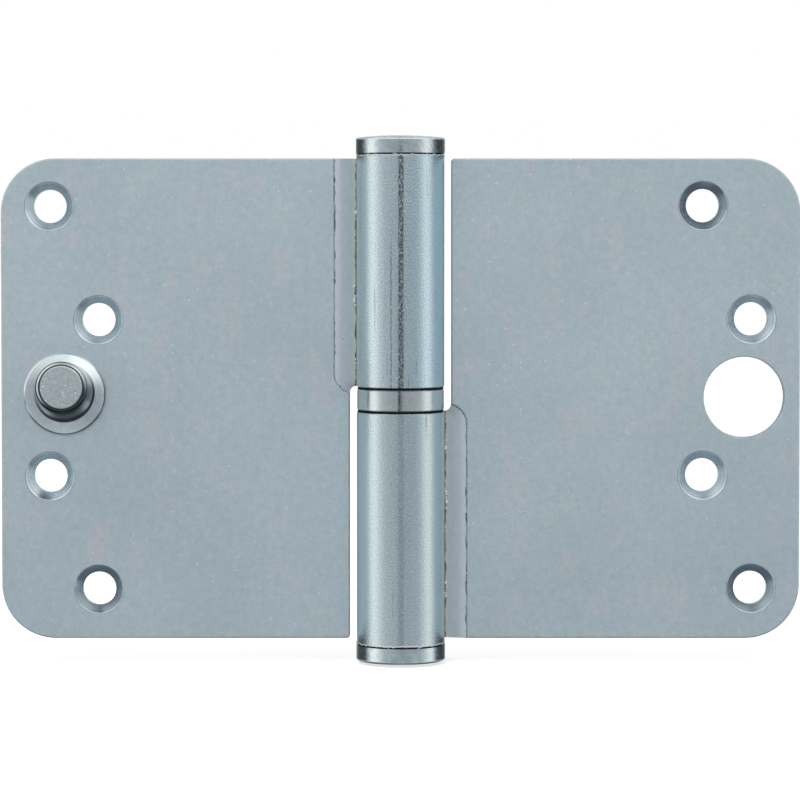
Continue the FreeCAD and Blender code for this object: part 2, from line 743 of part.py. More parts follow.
def make_casing():
    edge = "sizes.casing_edge"
    top = "sizes.casing_half"
    outside = "sizes.casing_radius"
    steps = [
        ("sizes.casing_bore", f"-{top}"),
        (f"{outside} - {edge}", f"-{top}"),
        (outside, f"-{top} + {edge}"),
        (outside, f"{top} - {edge}"),
        (f"{outside} - {edge}", top),
        ("sizes.casing_bore", top),
    ]
    body = new_body("bearing_casing")
    turned(body, steps, "casing")
    return body


def make_race(name, radius):
    """A race with its groove below it and its collar above, as the upper one lies."""
    face = "sizes.race_gap / 2"
    steps = [
        ("sizes.race_bore", face),
        (radius, face),
        (radius, "sizes.collar_face"),
        ("sizes.collar_radius", "sizes.collar_face"),
        ("sizes.collar_radius", "sizes.knuckle_inner_end"),
        ("sizes.race_bore", "sizes.knuckle_inner_end"),
    ]
    body = new_body(name)
    turned(body, steps, "race")
    before = body.Shape.Volume
    groove = new_sketch(body, "groove_profile", "XZ_Plane")
    round_holes(groove, [("sizes.ball_pitch_radius", "0")], "sizes.groove_radius")
    doc.recompute()
    revolve(body, "ball_groove", groove, kind="PartDesign::Groove")
    if body.Shape.Volume >= before:
        raise RuntimeError(name + " has no groove")
    return body


def make_cage():
    """A thin ring with one pocket for each ball."""
    half = "sizes.cage_thickness / 2"
    steps = [
        ("sizes.race_bore", f"-{half}"),
        ("sizes.race_radius", f"-{half}"),
        ("sizes.race_radius", half),
        ("sizes.race_bore", half),
    ]
    body = new_body("ball_cage")
    turned(body, steps, "ring")
    place = new_sketch(body, "pocket_place", "XY_Plane")
    round_holes(place, [("sizes.ball_pitch_radius", "0")], "sizes.groove_radius")
    pocket = pocket_through(body, "ball_pocket", place)
    pattern = body.newObject("PartDesign::PolarPattern", "ball_pockets")
    pattern.Originals = [pocket]
    pattern.Axis = (place, ["N_Axis"])
    pattern.Angle = 360.0
    pattern.setExpression("Occurrences", "sizes.ball_count")
    body.Tip = pattern
    doc.recompute()
    return body


def make_ball(number):
    """A ball in its pocket of the cage, counted round from X."""
    ball = doc.addObject("Part::Sphere", f"bearing_ball_{number:02d}")
    ball.Label = ball.Name
    ball.setExpression("Radius", "sizes.ball_radius")
    turn = f"({number - 1} * 360 deg / sizes.ball_count)"
    ball.setExpression("Placement.Base.x", f"sizes.ball_pitch_radius * cos({turn})")
    ball.setExpression("Placement.Base.y", f"sizes.ball_pitch_radius * sin({turn})")
    doc.recompute()
    return ball


# Assembly

pieces = [make_frame_leaf(), make_door_leaf(), make_stud(), make_pin()]
top_cap = make_cap("top_cap")
bottom_cap = make_cap("bottom_cap")
turn_over(bottom_cap, V(1, 0, 0))
pieces += [top_cap, bottom_cap, make_casing()]
upper_race = make_race("upper_race", "sizes.race_radius")
lower_race = make_race("lower_race", "sizes.casing_bore - sizes.press_clearance")
turn_over(lower_race, V(1, 0, 0))
pieces += [lower_race, upper_race, make_cage()]
for number in range(1, int(size("ball_count")) + 1):
    pieces.append(make_ball(number))
doc.recompute()


# Checks and files

for item in doc.Objects:
    if "Invalid" in item.State or "Error" in item.State:
        sys.exit(f"{item.Name} did not build: {item.State}")

os.makedirs("parts", exist_ok=True)
for piece in pieces:
    shape = piece.Shape
    if shape.isNull() or not shape.isValid() or len(shape.Solids) != 1:
        sys.exit(f"{piece.Label} is not one valid solid")
    shape.exportStep(f"parts/{piece.Label}.step")
    print(piece.Label, round(shape.Volume, 1), "mm3")
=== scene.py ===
# %% [markdown]
# # Ball bearing lift-off hinge
#
# This is a door hinge in two halves. A frame leaf carries a fixed pin. A door leaf drops over that
# pin from above and turns on a small ball bearing between the two rolled knuckles. Everything is
# mild steel with a bright bluish zinc plating.
#
# The shapes come ready from the CAD model, so this lesson is mostly about light and finish: how
# plated sheet, rolled knuckles and turned steel each look, and how to say that with shader nodes.
#
# Lengths in Blender are metres. The pin stands on the Z axis, the leaves lie open along X, and
# the knuckles face the camera on the -Y side.

# %% Load the fixed frame
import math
import random

import bmesh
import bpy
from mathutils import Matrix, Vector


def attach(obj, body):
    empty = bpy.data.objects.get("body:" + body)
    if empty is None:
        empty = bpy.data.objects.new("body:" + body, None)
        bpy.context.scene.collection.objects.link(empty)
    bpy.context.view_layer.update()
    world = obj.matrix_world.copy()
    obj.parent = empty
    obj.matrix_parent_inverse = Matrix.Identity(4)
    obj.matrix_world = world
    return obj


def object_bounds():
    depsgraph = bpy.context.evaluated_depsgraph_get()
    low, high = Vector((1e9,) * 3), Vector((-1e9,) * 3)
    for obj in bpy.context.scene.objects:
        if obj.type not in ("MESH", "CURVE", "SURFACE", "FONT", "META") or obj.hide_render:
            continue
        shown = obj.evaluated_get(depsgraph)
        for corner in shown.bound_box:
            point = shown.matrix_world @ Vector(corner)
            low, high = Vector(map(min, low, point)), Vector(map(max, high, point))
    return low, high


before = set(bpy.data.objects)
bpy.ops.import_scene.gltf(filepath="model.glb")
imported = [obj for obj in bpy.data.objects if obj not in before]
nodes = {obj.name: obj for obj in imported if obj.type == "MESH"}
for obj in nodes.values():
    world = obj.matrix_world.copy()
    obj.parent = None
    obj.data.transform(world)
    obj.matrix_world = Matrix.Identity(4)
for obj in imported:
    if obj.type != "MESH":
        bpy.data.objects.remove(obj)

MM = 0.001
cad_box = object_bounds()
print("nodes:", len(nodes), "box in mm:", [round(v / MM, 1) for v in cad_box[1] - cad_box[0]])

# %% [markdown]
# ## Camera
#
# A catalogue picture of a hinge is taken square on with a long lens, so that both leaves keep
# their true outline. A short lens up close would show too much of the knuckles' sides. The height
# and distance below come from how much the round edges bow: the ring between the knuckles curves
# as seen from a little above, and so does everything below it.
#
# Half of the look down comes from tilting the camera and half from lowering its film, as on a
# view camera. Tilt alone would make the leaves' outer edges lean together.

# %% Camera
CAMERA_DISTANCE = 0.610
EYE_HEIGHT = 0.031
LENS_MM = 148.6
SENSOR_MM = 36.0
AIM_HEIGHT = 0.0117
FILM_SHIFT = -0.0800
AXIS_OFFSET = -0.0001

camera_data = bpy.data.cameras.new("hinge_camera")
camera_data.lens = LENS_MM
camera_data.sensor_width = SENSOR_MM
camera_data.shift_y = FILM_SHIFT
camera = bpy.data.objects.new("hinge_camera", camera_data)
bpy.context.scene.collection.objects.link(camera)
camera.location = (AXIS_OFFSET, -CAMERA_DISTANCE, EYE_HEIGHT)
sight = Vector((AXIS_OFFSET, 0, AIM_HEIGHT)) - camera.location
camera.rotation_euler = sight.to_track_quat("-Z", "Y").to_euler()
bpy.context.scene.camera = camera
bpy.context.scene.view_settings.view_transform = "Standard"
print("camera tilt in degrees:", round(math.degrees(math.atan2(-sight.z, sight.y)), 2))

# %% [markdown]
# ## A small language for shaders
#
# Node trees built call by call are hard to read. Here a socket is wrapped in a class that knows
# the signs of arithmetic, so `0.4 + 0.1 * grain` adds its own Math nodes. Every other node comes
# from one method, `node`, which takes the node's type, its settings and its inputs.

# %% Sums of sockets


class Wire:
    """An output of a node, used in sums as a number would be."""

    def __init__(self, paint, socket):
        self.paint = paint
        self.socket = socket

    def math(self, operation, *terms):
        return self.paint.node("ShaderNodeMath", {"operation": operation}, dict(enumerate(terms)))

    def __add__(self, other):
        return self.math("ADD", self, other)

    __radd__ = __add__

    def __sub__(self, other):
        return self.math("SUBTRACT", self, other)

    def __rsub__(self, other):
        return self.math("SUBTRACT", other, self)

    def __mul__(self, other):
        return self.math("MULTIPLY", self, other)

    __rmul__ = __mul__

    def __truediv__(self, other):
        return self.math("DIVIDE", self, other)

    def __pow__(self, other):
        return self.math("POWER", self, other)

    def __abs__(self):
        return self.math("ABSOLUTE", self)

    def asin(self):
        return self.math("ARCSINE", self)

    def atan2(self, other):
        return self.math("ARCTAN2", self, other)

    def least(self, other):
        """The smaller of two."""
        return self.math("MINIMUM", self, other)

    def most(self, *others):
        """The largest of several."""
        largest = self
        for other in others:
            largest = largest.math("MAXIMUM", largest, other)
        return largest

    def over(self, low, high):
        """0 below low, 1 above high and a smooth rise between. low may be the larger, for a fall."""
        ends = (low, high, 0.0, 1.0) if low < high else (high, low, 1.0, 0.0)
        inputs = {0: self, **dict(enumerate(ends, start=1))}
        return self.paint.node("ShaderNodeMapRange", {"interpolation_type": "SMOOTHSTEP"}, inputs)

    def near(self, centre, width, soft):
        """1 within width of a value, fading to 0 over soft."""
        return abs(self - centre).over(width + soft, width)


print("sums of sockets ready")

# %% Nodes of a material


class Paint:
    """A node tree that is being put together."""

    def __init__(self, tree):
        self.tree = tree
        tree.nodes.clear()

    def node(self, kind, settings=None, inputs=None, output=0):
        made = self.tree.nodes.new(kind)
        for name, value in (settings or {}).items():
            if name == "stops":
                self.set_stops(made.color_ramp.elements, value)
            else:
                setattr(made, name, value)
        for key, value in (inputs or {}).items():
            if isinstance(value, Wire):
                self.tree.links.new(value.socket, made.inputs[key])
            else:
                made.inputs[key].default_value = value
        return Wire(self, made.outputs[output]) if made.outputs else made

    def set_stops(self, elements, stops):
        """Fills a ramp with grey levels at the given places."""
        while len(elements) < len(stops):
            elements.new(0.5)
        for element, (place, level) in zip(elements, stops):
            element.position = place
            element.color = (level, level, level, 1)

    def mix(self, factor, first, second, blend="MIX"):
        """A colour between two others, by a Mix node."""
        first, second = (c if isinstance(c, Wire) else (*c, 1) for c in (first, second))
        settings = {"data_type": "RGBA", "blend_type": blend}
        return self.node("ShaderNodeMix", settings, {0: factor, 6: first, 7: second}, 2)

    def shaded(self, colour, level):
        """The colour made lighter or darker by a level that is 1 for no change."""
        return self.mix(1.0, colour, self.join(level, level, level), "MULTIPLY")

    def place(self):
        """Object coordinates in millimetres: the vector, and its x, y and z."""
        metres = self.node("ShaderNodeTexCoord", output=3)
        vector = self.node("ShaderNodeVectorMath", {"operation": "SCALE"}, {0: metres, 3: 1 / MM})
        return vector, *(self.node("ShaderNodeSeparateXYZ", inputs={0: vector}, output=i) for i in range(3))

    def stretch(self, vector, x, y, z):
        """The vector with each direction scaled, for streaks and for grain of a given size."""
        return self.node("ShaderNodeVectorMath", {"operation": "MULTIPLY"}, {0: vector, 1: (x, y, z)})

    def join(self, x, y, z):
        return self.node("ShaderNodeCombineXYZ", inputs={0: x, 1: y, 2: z})

    def noise(self, vector, scale, detail=2.0, roughness=0.5):
        inputs = {"Vector": vector, "Scale": scale, "Detail": detail, "Roughness": roughness}
        return self.node("ShaderNodeTexNoise", inputs=inputs)

    def cells(self, vector, scale, output="Distance"):
        return self.node("ShaderNodeTexVoronoi", inputs={"Vector": vector, "Scale": scale}, output=output)


def new_material(name):
    """An empty material, and the Paint that fills it."""
    material = bpy.data.materials.new(name)
    material.use_nodes = True
    return material, Paint(material.node_tree)


print("nodes of a material ready")

# %% [markdown]
# ## Studio
#
# Bare metal has hardly any colour of its own: it shows what stands around it. Product
# photographers therefore put shiny parts in a light tent, white cloth lit from outside, with a
# dark slit for the lens and black strips at the sides that draw the outline of round parts.
#
# The tent here is one large sphere that gives off light by direction. Only reflections see it.
# Its side boxes lean a little, so the bright bands on the round parts drift with height, and the
# lens hides in a short dark slit that ends just above and below it. A small bright box hangs over
# the lens, for the stud, whose face leans up.

# %% Tent's cloth, by direction
TENT_RADIUS = 2.0
COOL_FILL = (0.955, 1.0, 1.045)
WARM_BOX = (1.03, 1.0, 0.965)

# Degrees round from the lens, and how bright the cloth is there
LEFT_CLOTH = [
    (0, 0.40), (20, 0.43), (48, 0.54), (59, 0.76), (70, 1.12), (84, 1.18), (91, 0.90),
    (98, 0.42), (107, 0.12), (118, 0.07), (138, 0.08), (152, 0.15), (162, 0.38), (175, 0.9),
]
RIGHT_CLOTH = [
    (0, 0.38), (20, 0.42), (46, 0.47), (57, 0.60), (65, 0.90), (74, 1.00), (83, 1.02), (90, 0.74),
    (96, 0.30), (105, 0.13), (118, 0.06), (138, 0.08), (152, 0.15), (162, 0.38), (175, 0.9),
]
# Degrees up from the horizon
HIGH_CLOTH = [
    (-90, 0.56), (-78, 0.44), (-64, 0.20), (-36, 0.18), (-24, 0.74), (-13, 0.90), (12, 0.90),
    (26, 0.98), (48, 1.05), (68, 0.85), (82, 0.45), (90, 0.38),
]
# The level that a ramp's white stands for, as a ramp holds only 0 to 1
HIGHEST = 2.0

# How far round a box leans for each degree up, and how far the whole band is turned down, as the
# camera looks down
BOX_LEAN = 0.8
EYE_TURN = 1.9
# Degrees up or down over which the boxes give way to the cloth above and below them
LEVEL_BAND = (8, 17)
BACK_DIMMING = 0.4

# The slit's half width, softness and brightness, and where it fades out below and above the lens
SLIT_HALF_WIDTH, SLIT_SOFT, SLIT_LEVEL = 3.8, 1.2, 0.05
SLIT_FOOT, SLIT_HEAD = (-6.0, -3.2), (2.2, 1.2)

# The small box's place round and up, each as a middle, a half width and a softness
OVERHEAD_ROUND, OVERHEAD_UP, OVERHEAD_LEVEL = (6.0, 6.0, 5.0), (13.5, 4.0, 4.0), 0.55
print("brightest cloth:", max(level for _, level in LEFT_CLOTH + RIGHT_CLOTH + HIGH_CLOTH))

# %% Tent's sphere
tent_mesh = bpy.data.meshes.new("light_tent")
shape = bmesh.new()
bmesh.ops.create_icosphere(shape, subdivisions=4, radius=TENT_RADIUS)
shape.to_mesh(tent_mesh)
shape.free()
tent = bpy.data.objects.new("light_tent", tent_mesh)
bpy.context.scene.collection.objects.link(tent)
for ray in ("camera", "diffuse", "transmission", "shadow", "volume_scatter"):
    setattr(tent, "visible_" + ray, False)
print("tent of", len(tent_mesh.polygons), "faces, seen only in reflections")

# %% Tent's glow
cloth, paint = new_material("tent_cloth")
_, x, y, z = paint.place()
to_degrees = 180 / math.pi
height = (z / (TENT_RADIUS / MM)).asin() * to_degrees
aside = x.atan2(0 - y) * to_degrees
leaning = abs(aside + BOX_LEAN * (height + EYE_TURN))


def cloth_level(stops, along):
    """How bright the cloth is at a place along its list of levels, which goes from 0 to 1."""
    ramp = paint.node("ShaderNodeValToRGB", {"stops": stops}, {0: along})
    return paint.node("ShaderNodeRGBToBW", inputs={0: ramp}) * HIGHEST


left, right = (
    cloth_level([(degrees / 180, level / HIGHEST) for degrees, level in levels], leaning / 180)
    for levels in (LEFT_CLOTH, RIGHT_CLOTH)
)
right_half = x.over(-1.0, 1.0)
round_about = left * (1 - right_half) + right * right_half
slit = aside.near(0, SLIT_HALF_WIDTH, SLIT_SOFT) * height.over(*SLIT_FOOT) * height.over(*SLIT_HEAD)
round_about = round_about * (1 - slit) + SLIT_LEVEL * slit

high_stops = [((degrees + 90) / 180, level / HIGHEST) for degrees, level in HIGH_CLOTH]
up_and_down = cloth_level(high_stops, height / 180 + 0.5)
off_level = abs(height + EYE_TURN).over(*LEVEL_BAND)
behind = (y / (TENT_RADIUS / MM)).over(0.05, 0.45)
up_and_down = up_and_down * (1 - BACK_DIMMING * behind)
overhead = aside.near(*OVERHEAD_ROUND) * height.near(*OVERHEAD_UP)
brightness = round_about * (1 - off_level) + up_and_down * off_level + OVERHEAD_LEVEL * overhead

colour = paint.mix(brightness.over(0.5, 1.1), COOL_FILL, WARM_BOX)
glow = paint.node("ShaderNodeEmission", inputs={"Color": colour, "Strength": brightness})
paint.node("ShaderNodeOutputMaterial", inputs={0: glow})
tent_mesh.materials.append(cloth)
print("tent's glow takes", len(cloth.node_tree.nodes), "nodes")

# %% [markdown]
# ## Ground
#
# The catalogue picture has a white ground with hardly a shadow. Turning the lamps up until
# everything behind the hinge is white would bleach the hinge too. Here the world and the floor
# glow only for rays that look straight at them, or that look by way of metal or glass, and light
# the hinge no more than pale card would. One soft lamp from above keeps the faint shadow.

# %% Backdrop
ROOM_LIGHT = 0.55


def looked_at(paint):
    """1 for the camera and for reflections, 0 for the light that falls on things."""
    camera_ray, glossy_ray, clear_ray = (
        paint.node("ShaderNodeLightPath", output=name)
        for name in ("Is Camera Ray", "Is Glossy Ray", "Is Transmission Ray")
    )
    return (camera_ray + glossy_ray + clear_ray).least(1.0)


world = bpy.data.worlds.new("backdrop")
bpy.context.scene.world = world
world.use_nodes = True
paint = Paint(world.node_tree)
strength = ROOM_LIGHT + (1 - ROOM_LIGHT) * looked_at(paint)
background = paint.node("ShaderNodeBackground", inputs={"Color": (1, 1, 1, 1), "Strength": strength})
paint.node("ShaderNodeOutputWorld", inputs={0: background})
print("backdrop is white to the camera,", ROOM_LIGHT, "to the floor")

# %% Floor
FLOOR_SIZE = 5.0
FLOOR_GAP = 0.0001
FLOOR_GLOW = 0.60

floor_mesh = bpy.data.meshes.new("floor")
shape = bmesh.new()
bmesh.ops.create_grid(shape, x_segments=1, y_segments=1, size=FLOOR_SIZE)
bmesh.ops.translate(shape, verts=shape.verts, vec=(0, 0, cad_box[0].z - FLOOR_GAP))
shape.to_mesh(floor_mesh)
shape.free()
floor = bpy.data.objects.new("floor", floor_mesh)
bpy.context.scene.collection.objects.link(floor)
floor.visible_glossy = False

# The card is clear from under, so that the hinge can be looked at from below
card, paint = new_material("pale_card")
vector, *_ = paint.place()
fibre = paint.mix(paint.noise(vector, 0.08, 3.0), (0.84, 0.84, 0.84), (0.86, 0.86, 0.86))
matt = paint.node("ShaderNodeBsdfDiffuse", inputs={"Color": fibre})
strength = looked_at(paint) * FLOOR_GLOW
glow = paint.node("ShaderNodeEmission", inputs={"Color": (1, 1, 1, 1), "Strength": strength})
lit = paint.node("ShaderNodeAddShader", inputs={0: matt, 1: glow})
clear = paint.node("ShaderNodeBsdfTransparent")
under = paint.node("ShaderNodeNewGeometry", output="Backfacing")
surface = paint.node("ShaderNodeMixShader", inputs={0: under, 1: lit, 2: clear})
paint.node("ShaderNodeOutputMaterial", inputs={0: surface})
floor_mesh.materials.append(card)
print("floor at z =", round((cad_box[0].z) / MM, 2), "mm")

# %% Lamp
LAMP_PLACE = (-0.25, -0.30, 0.70)
LAMP_SIZE = 0.45
LAMP_WATTS = 3.2

lamp_data = bpy.data.lights.new("overhead_lamp", "AREA")
lamp_data.size = LAMP_SIZE
lamp_data.energy = LAMP_WATTS
lamp = bpy.data.objects.new("overhead_lamp", lamp_data)
bpy.context.scene.collection.objects.link(lamp)
lamp.location = LAMP_PLACE
lamp.rotation_euler = (-lamp.location).to_track_quat("-Z", "Y").to_euler()
lamp.visible_glossy = False
print("lamp of", LAMP_WATTS, "watts,", LAMP_SIZE, "m across")

# %% [markdown]
# ## Zinc plating
#
# Zinc goes on in a bath a few thousandths of a millimetre thick, and a passivation leaves it
# bluish with a faint play of pink and green. Under it the rolled sheet keeps its fine pebbled
# grain, and single crystals catch the light as tiny sparks.
#
# All plated pieces share that, so one function mixes the colour, the roughness and the fine
# height, and each piece then adds what its own making left on it.

# %% Zinc plating
PINKISH = (0.70, 0.70, 0.76)
GREENISH = (0.62, 0.75, 0.74)
COOL_SPARK, WARM_SPARK = (0.90, 0.97, 1.0), (1.0, 0.97, 0.96)
# Sizes in mm of the cloudy patches, the tinted ones, the mottling and the crystals
CLOUD, TINT, MOTTLE, CRYSTAL = 26, 6, 1.3, 1.5


def zinc(paint, vector, dull, bright, plain_roughness, grain_size=0.22, sparks=1.0, mottling=1.0):
    """Colour, roughness and height of plated steel, before a piece's own marks are added."""
    cloud = paint.noise(vector, 1 / CLOUD, 3.0)
    tint = paint.noise(paint.stretch(vector, 1.0, 1.0, 0.7), 1 / TINT, 3.0, 0.6)
    speck = paint.noise(vector, 1 / grain_size, 2.0, 0.6)
    mottle = paint.noise(vector, 1 / MOTTLE, 4.0, 0.65)
    colour = paint.mix(cloud.over(0.3, 0.7), dull, bright)
    colour = paint.mix(0.5 * mottling * tint.over(0.52, 0.72), colour, PINKISH)
    colour = paint.mix(0.35 * mottling * tint.over(0.47, 0.28), colour, GREENISH)
    colour = paint.shaded(colour, 1 + 0.30 * (speck - 0.5) + 0.34 * mottling * (mottle - 0.5))

    # One crystal in a few stands at the right angle, and only its middle sparkles
    middle = paint.cells(vector, 1 / CRYSTAL).over(0.17, 0.05)
    luck = paint.node("ShaderNodeSeparateXYZ", inputs={0: paint.cells(vector, 1 / CRYSTAL, "Color")})
    spark = middle * luck.over(0.60, 0.92) * sparks
    colour = paint.mix(0.75 * spark, colour, paint.mix(luck.over(0.7, 0.9), COOL_SPARK, WARM_SPARK))
    roughness = plain_roughness + 0.12 * (mottle - 0.5) + 0.06 * (speck - 0.5) - 0.25 * spark
    height = speck + 0.6 * mottle
    return colour, roughness, height


def finish_metal(paint, colour, roughness, height, depth_mm):
    """The metal shader itself, with its height turned into a bump, linked to the output."""
    inputs = {"Strength": 1.0, "Distance": depth_mm * MM, "Height": height}
    bump = paint.node("ShaderNodeBump", inputs=inputs)
    inputs = {"Base Color": colour, "Metallic": 1.0, "Roughness": roughness, "Normal": bump}
    metal = paint.node("ShaderNodeBsdfPrincipled", inputs=inputs)
    paint.node("ShaderNodeOutputMaterial", inputs={0: metal})


def wear(material, *names):
    """Puts a material on CAD nodes by name."""
    for name in names:
        mesh = nodes[name].data
        mesh.materials.clear()
        mesh.materials.append(material)
        print(name, "wears", material.name)


def away(x, z, centre_x, centre_z):
    """Distance from a line that runs front to back through the leaves, in mm."""
    return ((x - centre_x) ** 2 + (z - centre_z) ** 2) ** 0.5


print("zinc plating ready, with clouds of", CLOUD, "mm and crystals of", CRYSTAL, "mm")

# %% [markdown]
# ## Leaves
#
# A leaf is one blank of sheet. Its tongue was bent back and rolled into the knuckle between
# polished tools, which ironed the grain flat and drew faint lines along the roll. So the flat
# part is satin and the knuckle is glossier, in one material that asks how far a point is from
# the pin.
#
# The countersinks were cut after bending: smoother, a little darker, with ring marks. They are at
# the front only, and the leaf's back stays plain sheet.

# %% Sheet and countersinks
SHEET_DULL, SHEET_BRIGHT = (0.564, 0.675, 0.734), (0.603, 0.718, 0.781)
CUT_DULL, CUT_BRIGHT, CUT_DARK = (0.56, 0.67, 0.73), (0.76, 0.87, 0.92), (0.30, 0.36, 0.42)
# How far back through the sheet the front's marks go
FRONT_END = 3.5
# The holes' places, from the top for the frame leaf and from the bottom for the door leaf
HOLE_REACHES = (56.0, 65.0, 56.0, 65.0)
FRAME_HOLE_HEIGHTS = (35.8, 14.8, -14.2, -35.2)
DOOR_HOLE_HEIGHTS = (-35.35, -14.35, 14.65, 35.65)
COUNTERSINK_RADIUS = 4.5
RING_MARKS = 2.6

leaf_zinc, paint = new_material("leaf_zinc")
vector, x, y, z = paint.place()
reach = abs(x)
colour, roughness, height = zinc(paint, vector, SHEET_DULL, SHEET_BRIGHT, plain_roughness=0.55)

frame_side = x.over(-1.0, 1.0)
in_front = y.over(FRONT_END + 0.5, FRONT_END - 0.3)
from_hole = None
for across, frame_up, door_up in zip(HOLE_REACHES, FRAME_HOLE_HEIGHTS, DOOR_HOLE_HEIGHTS):
    up = frame_side * (frame_up - door_up) + door_up
    distance = away(reach, z, across, up)
    from_hole = distance if from_hole is None else from_hole.least(distance)
rim = from_hole.near(COUNTERSINK_RADIUS, 0.12, 0.10) * in_front
sunk = from_hole.over(COUNTERSINK_RADIUS, COUNTERSINK_RADIUS - 0.1) * in_front
ring_marks = paint.noise(paint.join(from_hole * RING_MARKS, 0.0, 0.0), 1.0, 2.0)
cut = paint.mix(ring_marks.over(0.3, 0.7), CUT_DULL, CUT_BRIGHT)

# The lowest hole of each leaf and the frame leaf's top one are painted darker
darker_holes = (frame_side * z.over(28.0, 31.0)).most(z.over(-28.0, -31.0))
cut = paint.mix(0.80 * darker_holes, cut, CUT_DARK)
colour = paint.mix(0.85 * sunk, colour, cut)
tooled = sunk.most(rim)
roughness = roughness * (1 - tooled) + (0.24 - 0.14 * rim) * tooled
print("countersinks:", 2 * len(HOLE_REACHES), "of radius", COUNTERSINK_RADIUS, "mm")

# %% [markdown]
# The bend was stroked by the tool that pressed it, which left it lavender and a little glossier.
# Its lavender is also painted much lighter than the sheet, partly painted light. A broken dark
# line is painted along the bend line, which turns in to the leaf's edge on a rounded corner. Where
# the bend meets the knuckle, the sheet's rolled end leaves a seam, with a yellowish painted
# highlight beside it and painted shade in the crease.

# %% Bend and seam
KNUCKLE_RADIUS = 8.1
BEND_LINE = 12.2
BEND_END = 1.05
BEND_CORNER_RADIUS, BEND_CORNER_DROP = 3.845, 3.7
LAVENDER_SHEEN, YELLOW_HIGHLIGHT = (0.80, 0.855, 0.925), (0.90, 0.90, 0.74)
SEAM_SHADE, BEND_LINE_DARK = (0.15, 0.13, 0.11), (0.14, 0.14, 0.18)

upper_half = z.over(BEND_END - 0.1, BEND_END + 0.1) * (1 - frame_side)
lower_half = z.over(0.1 - BEND_END, -0.1 - BEND_END) * frame_side
own_half = (upper_half + lower_half) * in_front
past_line = (reach - (BEND_LINE - BEND_CORNER_RADIUS)).most(0.0)
past_corner = (BEND_END + BEND_CORNER_DROP - abs(z)).most(0.0)
from_corner = (past_line ** 2 + past_corner ** 2) ** 0.5
bend = from_corner.over(BEND_CORNER_RADIUS + 0.15, BEND_CORNER_RADIUS - 0.15) * own_half
# Lavender tint painted lighter than the sheet: partly the bend's own colour, partly painted light
colour = paint.mix(0.75 * bend, colour, LAVENDER_SHEEN)

# A yellowish band beside the knuckle is a painted highlight
seam_highlight = reach.over(KNUCKLE_RADIUS + 1.2, KNUCKLE_RADIUS + 0.3) * bend
colour = paint.mix(0.8 * seam_highlight, colour, YELLOW_HIGHLIGHT)
# Painted shade: a dark line in the crease where the bend meets the knuckle
crumbs = paint.noise(paint.stretch(vector, 1.5, 1.0, 0.5), 1.0, 3.0, 0.7)
seam = (reach - 0.35 * crumbs.over(0.3, 0.7)).over(KNUCKLE_RADIUS + 0.16, KNUCKLE_RADIUS + 0.04) * bend
colour = paint.mix(0.9 * seam, colour, SEAM_SHADE)

# A broken dark line painted along the bend line
dark_bend_line = paint.noise(paint.stretch(vector, 2.0, 1.0, 0.45), 1.0, 3.0, 0.7).over(0.50, 0.60)
dark_bend_line = dark_bend_line * from_corner.near(BEND_CORNER_RADIUS, 0.11, 0.14) * own_half
colour = paint.mix(0.9 * dark_bend_line, colour, BEND_LINE_DARK)
stroked = paint.noise(paint.stretch(vector, 1.4, 1.0, 0.8), 1.0, 4.0, 0.7)
colour = paint.shaded(colour, 1 + 0.25 * (stroked - 0.5) * bend)
roughness = roughness - 0.10 * bend
print("bend from the knuckle to", BEND_LINE, "mm from the pin")

# %% [markdown]
# The knuckle's pebbled skin was ironed by the rolls and has a few scratches round it. The pebbles
# are laid out on the skin unrolled, `turn` being the length round from its foremost line, so that
# they are as large at the sides as in front. A dark streak down each knuckle's foremost line is a
# painted reflection of the lens slit, broken where the pebbles lie deep, and a thin dark line runs
# beside it on the upper knuckle. Soot sits in the joint under each cap.

# %% Knuckle's skin
SKIN_DULL, SKIN_BRIGHT = (0.590, 0.700, 0.735), (0.615, 0.725, 0.760)
BLUEING, DARK_BAND, SCRATCHED = (0.55, 0.73, 0.81), (0.46, 0.60, 0.66), (0.24, 0.22, 0.29)
PEBBLE = 0.30


def length_round(x, y):
    """Length in mm round a knuckle from its foremost line."""
    return x.atan2(0 - y) * KNUCKLE_RADIUS


rolled = reach.over(KNUCKLE_RADIUS + 0.15, KNUCKLE_RADIUS)
turn = length_round(x, y)
around = paint.join(turn, 0.0, z)
pebble = paint.noise(around, 1 / PEBBLE, 2.0, 0.6)
drawn = paint.noise(paint.stretch(around, 1.6, 1.0, 0.05), 1.0, 2.0)
scratch = paint.noise(paint.stretch(around, 1.1, 1.0, 0.09), 1.0, 2.0).over(0.65, 0.76)
skin = paint.mix(drawn.over(0.30, 0.70), SKIN_DULL, SKIN_BRIGHT)
blueing = turn.over(-4.0, 7.0) * z.over(-4.0, 4.0)
skin = paint.mix(0.75 * blueing, skin, BLUEING)
# A darker band painted 1.7 mm round from the knuckle's front line
dark_band = turn.near(1.7, 1.3, 1.8)
skin = paint.mix(0.45 * dark_band, skin, DARK_BAND)
skin = paint.mix(0.5 * scratch, skin, SCRATCHED)

# The pebbles are painted lighter and darker as well as bumped: grain, and partly painted light and shade of
# the pebbles, stronger on the door leaf's knuckle
on_top = z.over(-3.0, 3.0)
skin = paint.shaded(skin, 1 + (0.60 + 0.30 * on_top) * (pebble - 0.5))
print("pebbles of", PEBBLE, "mm on a skin", round(2 * math.pi * KNUCKLE_RADIUS, 1), "mm round")

# %% Painted slit reflection, a thin dark line, and soot under the caps
KNUCKLE_LINE_DARK, SOOT = (0.07, 0.08, 0.10), (0.02, 0.02, 0.025)
# Heights between which a knuckle's end darkens
JOINT = (45.08, 45.16)
LEAF_BUMP_MM = 0.006

wander = 0.3 * (paint.noise(paint.join(0.0, 0.0, z), 0.5, 2.0) - 0.5)
deep = paint.noise(paint.stretch(around, 3.4, 1.0, 1.9), 1.0, 3.0, 0.7)
